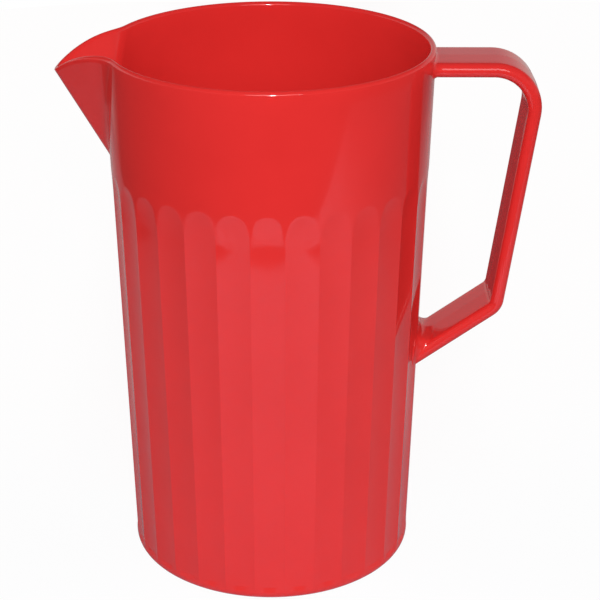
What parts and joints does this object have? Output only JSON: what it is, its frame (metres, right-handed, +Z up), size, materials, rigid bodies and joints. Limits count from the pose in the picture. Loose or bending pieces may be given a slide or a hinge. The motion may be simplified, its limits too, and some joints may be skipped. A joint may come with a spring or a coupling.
{
  "type": "plastic pouring jug",
  "caption": "Tapered round plastic jug with a plain band above shallow vertical flutes, a drooping V-shaped pouring spout and a flat-bar loop handle opposite it.",
  "frame": {"origin": "on the jug's axis, at the middle of the flat underside that it stands on", "axes": "+Z up along the jug's axis, +X toward the handle, -X toward the spout, +Y across"},
  "size_m": [0.1575, 0.1074, 0.18],
  "materials": {
    "red_plastic": "opaque glossy moulded plastic, pigmented right through"
  },
  "bodies": {
    "root": {"base": "red_plastic", "fluted_wall": "red_plastic", "rim_band": "red_plastic", "pouring_spout": "red_plastic", "handle": "red_plastic"}
  },
  "joints": []
}
